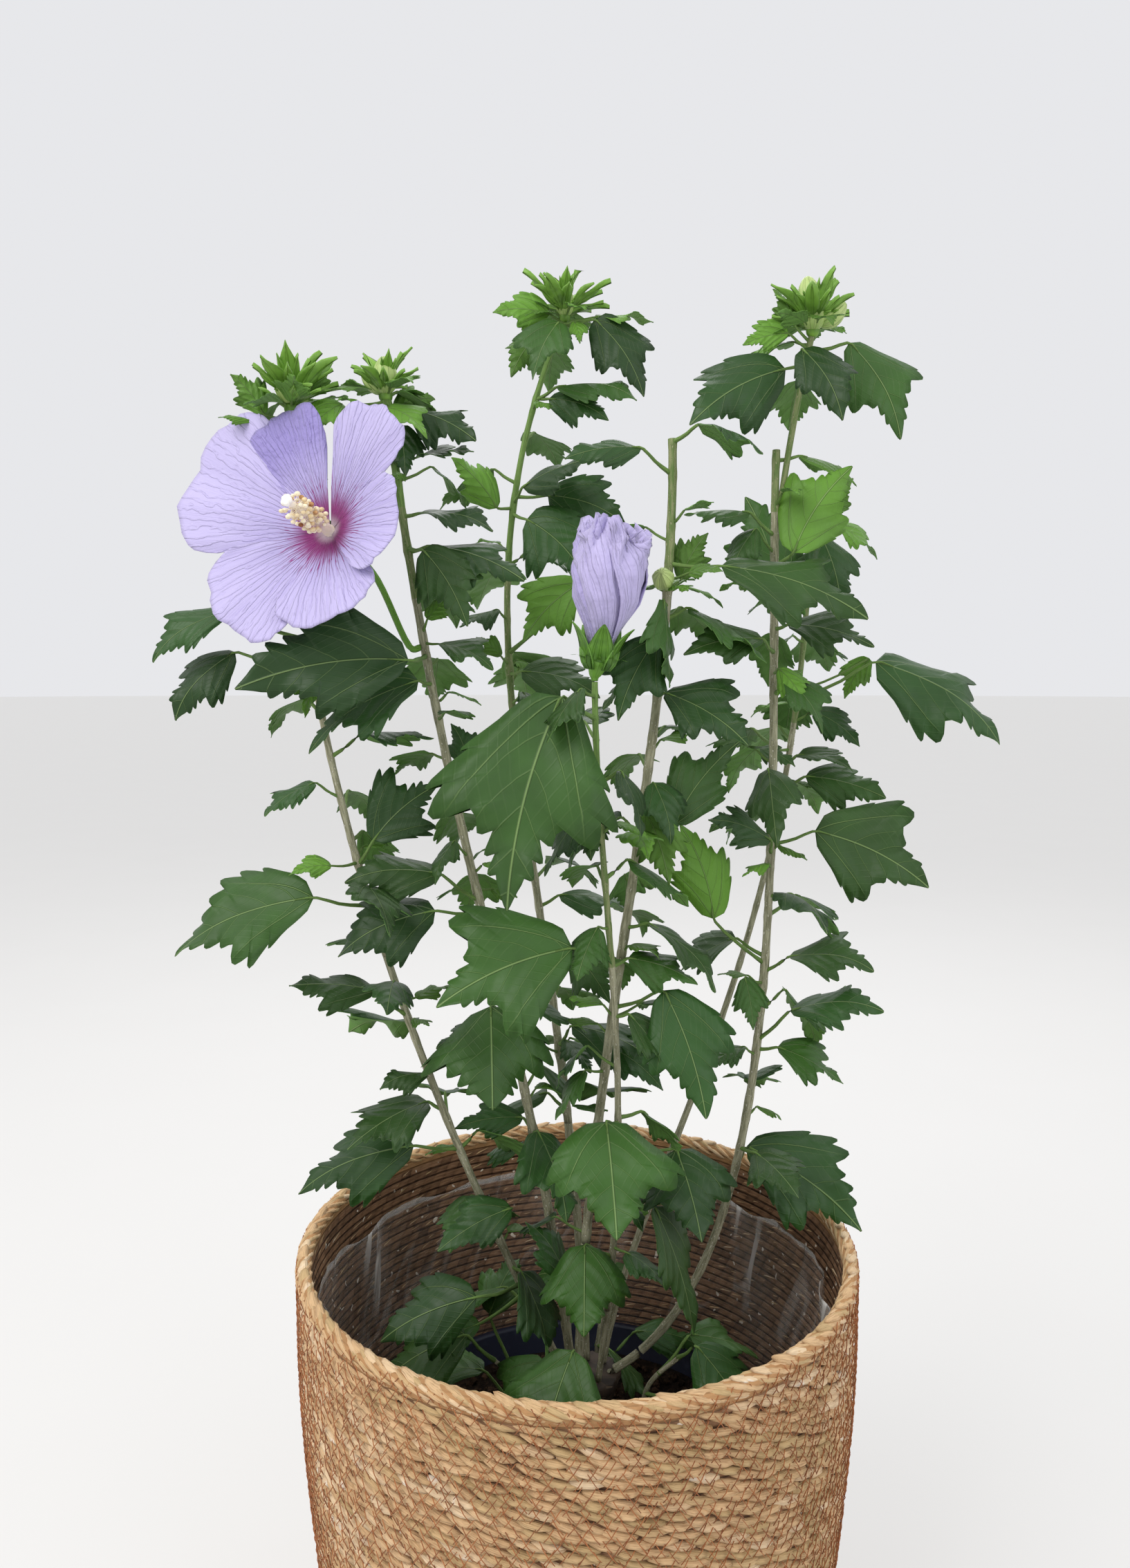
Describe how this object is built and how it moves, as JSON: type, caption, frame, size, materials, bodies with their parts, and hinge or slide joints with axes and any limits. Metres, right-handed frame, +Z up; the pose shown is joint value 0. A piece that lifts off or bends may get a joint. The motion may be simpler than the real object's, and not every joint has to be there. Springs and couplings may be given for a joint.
{
  "type": "potted hibiscus shrub in a woven basket",
  "caption": "Young hibiscus shrub with upright canes, lobed leaves, one open lavender bloom and one furled bloom, in a nursery pot inside a round woven grass basket.",
  "frame": {"origin": "centre of the basket's flat underside", "axes": "+Z up the plant, -Y towards the viewer of the picture, +X to the viewer's right"},
  "size_m": [0.4073, 0.2818, 0.7746],
  "materials": {
    "straw": "matt twisted dry grass with brown stitching",
    "film": "clear thin film, glossy",
    "pot_plastic": "dark blue-black, satin",
    "soil": "dark crumbly compost",
    "trunk_bark": "dark rough bark",
    "bark": "grey-tan bark with pale pores",
    "petal": "soft, finely veined, magenta eye",
    "furled_petal": "soft, creased",
    "leaf": "leathery, low gloss, paler below"
  },
  "bodies": {
    "root": {"basket": "straw", "liner": "film", "nursery_pot": "pot_plastic", "soil": "soil", "trunk": "trunk_bark", "cane_left": "bark", "cane_bloom": "bark", "cane_back": "bark", "cane_slim": "bark", "cane_middle": "bark", "cane_right": "bark", "cane_far_right": "bark", "open_bloom": "petal", "furled_bloom": "furled_petal", "leaves_left_lower": "leaf", "leaves_left_upper": "leaf", "leaves_bloom_lower": "leaf", "leaves_bloom_upper": "leaf", "leaves_back_lower": "leaf", "leaves_back_upper": "leaf", "leaves_slim": "leaf", "leaves_middle_lower": "leaf", "leaves_middle_upper": "leaf", "leaves_right_lower": "leaf", "leaves_right_upper": "leaf", "leaves_far_right": "leaf", "low_leaves_left": "leaf", "low_leaves_front": "leaf", "low_leaves_right": "leaf", "low_leaves_back": "leaf"}
  },
  "joints": []
}
